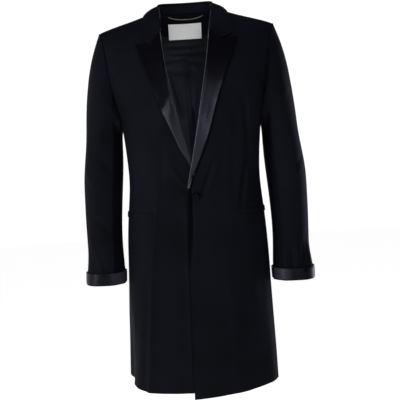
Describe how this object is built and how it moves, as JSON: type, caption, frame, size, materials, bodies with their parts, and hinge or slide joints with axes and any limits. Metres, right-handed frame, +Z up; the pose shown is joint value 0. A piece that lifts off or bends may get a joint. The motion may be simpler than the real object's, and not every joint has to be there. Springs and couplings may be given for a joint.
{
  "type": "blazer",
  "caption": "Long tailored evening blazer with satin peak lapels and turned-back satin cuffs, buttoned at the waist and hollow as if worn, with nobody in it.",
  "frame": {"origin": "between the shoulders at the base of the neck, where a wearer or a hanger holds the coat", "axes": "+Z up along the coat's length, -Y the way its front faces, +X the wearer's left"},
  "size_m": [0.5628, 0.3022, 0.9827],
  "materials": {
    "black_wool_barathea": "matt worsted wool",
    "black_silk_satin": "lustrous satin",
    "navy_lining_satin": "smooth lining satin",
    "white_woven_ribbon": "bare woven ribbon",
    "olive_gold_braid": "corded braid"
  },
  "bodies": {
    "root": {"front_left": "black_wool_barathea", "front_right": "black_wool_barathea", "side_left": "black_wool_barathea", "side_right": "black_wool_barathea", "back_left": "black_wool_barathea", "back_right": "black_wool_barathea", "sleeve_left_top": "black_wool_barathea", "sleeve_left_under": "black_wool_barathea", "sleeve_right_top": "black_wool_barathea", "sleeve_right_under": "black_wool_barathea", "collar_fall": "black_wool_barathea", "collar_stand": "black_wool_barathea", "lapel_left": "black_silk_satin", "lapel_right": "black_silk_satin", "cuff_left": "black_silk_satin", "cuff_right": "black_silk_satin", "pocket_left": "black_wool_barathea", "pocket_right": "black_wool_barathea", "button": "black_silk_satin", "neck_facing": "black_wool_barathea", "back_lining": "navy_lining_satin", "neck_label": "white_woven_ribbon", "hanger_loop": "olive_gold_braid"}
  },
  "joints": []
}
